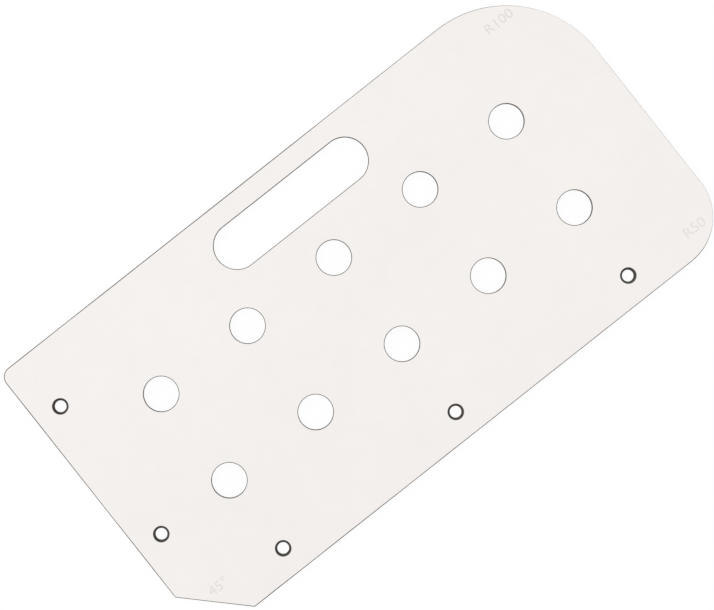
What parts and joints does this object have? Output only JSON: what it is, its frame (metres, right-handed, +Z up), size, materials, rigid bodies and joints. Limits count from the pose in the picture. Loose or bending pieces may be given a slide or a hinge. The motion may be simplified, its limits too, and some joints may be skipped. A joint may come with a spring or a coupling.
{
  "type": "router jig",
  "caption": "Flat one-piece router jig with two large rounded corners, one bevelled corner, clamp holes, stepped peg holes and a hand slot.",
  "frame": {"origin": "middle of the underside, in the plane that lies on the work", "axes": "+X along the plate from the heel with the bevel to the nose with the two large radii, +Y towards the hand slot, +Z up out of the top face"},
  "size_m": [0.591, 0.3, 0.012],
  "materials": {
    "laminate": "satin off-white decor faces on a dark solid laminate core, bare on every cut edge"
  },
  "bodies": {
    "root": {"jig_plate": "laminate"}
  },
  "joints": []
}
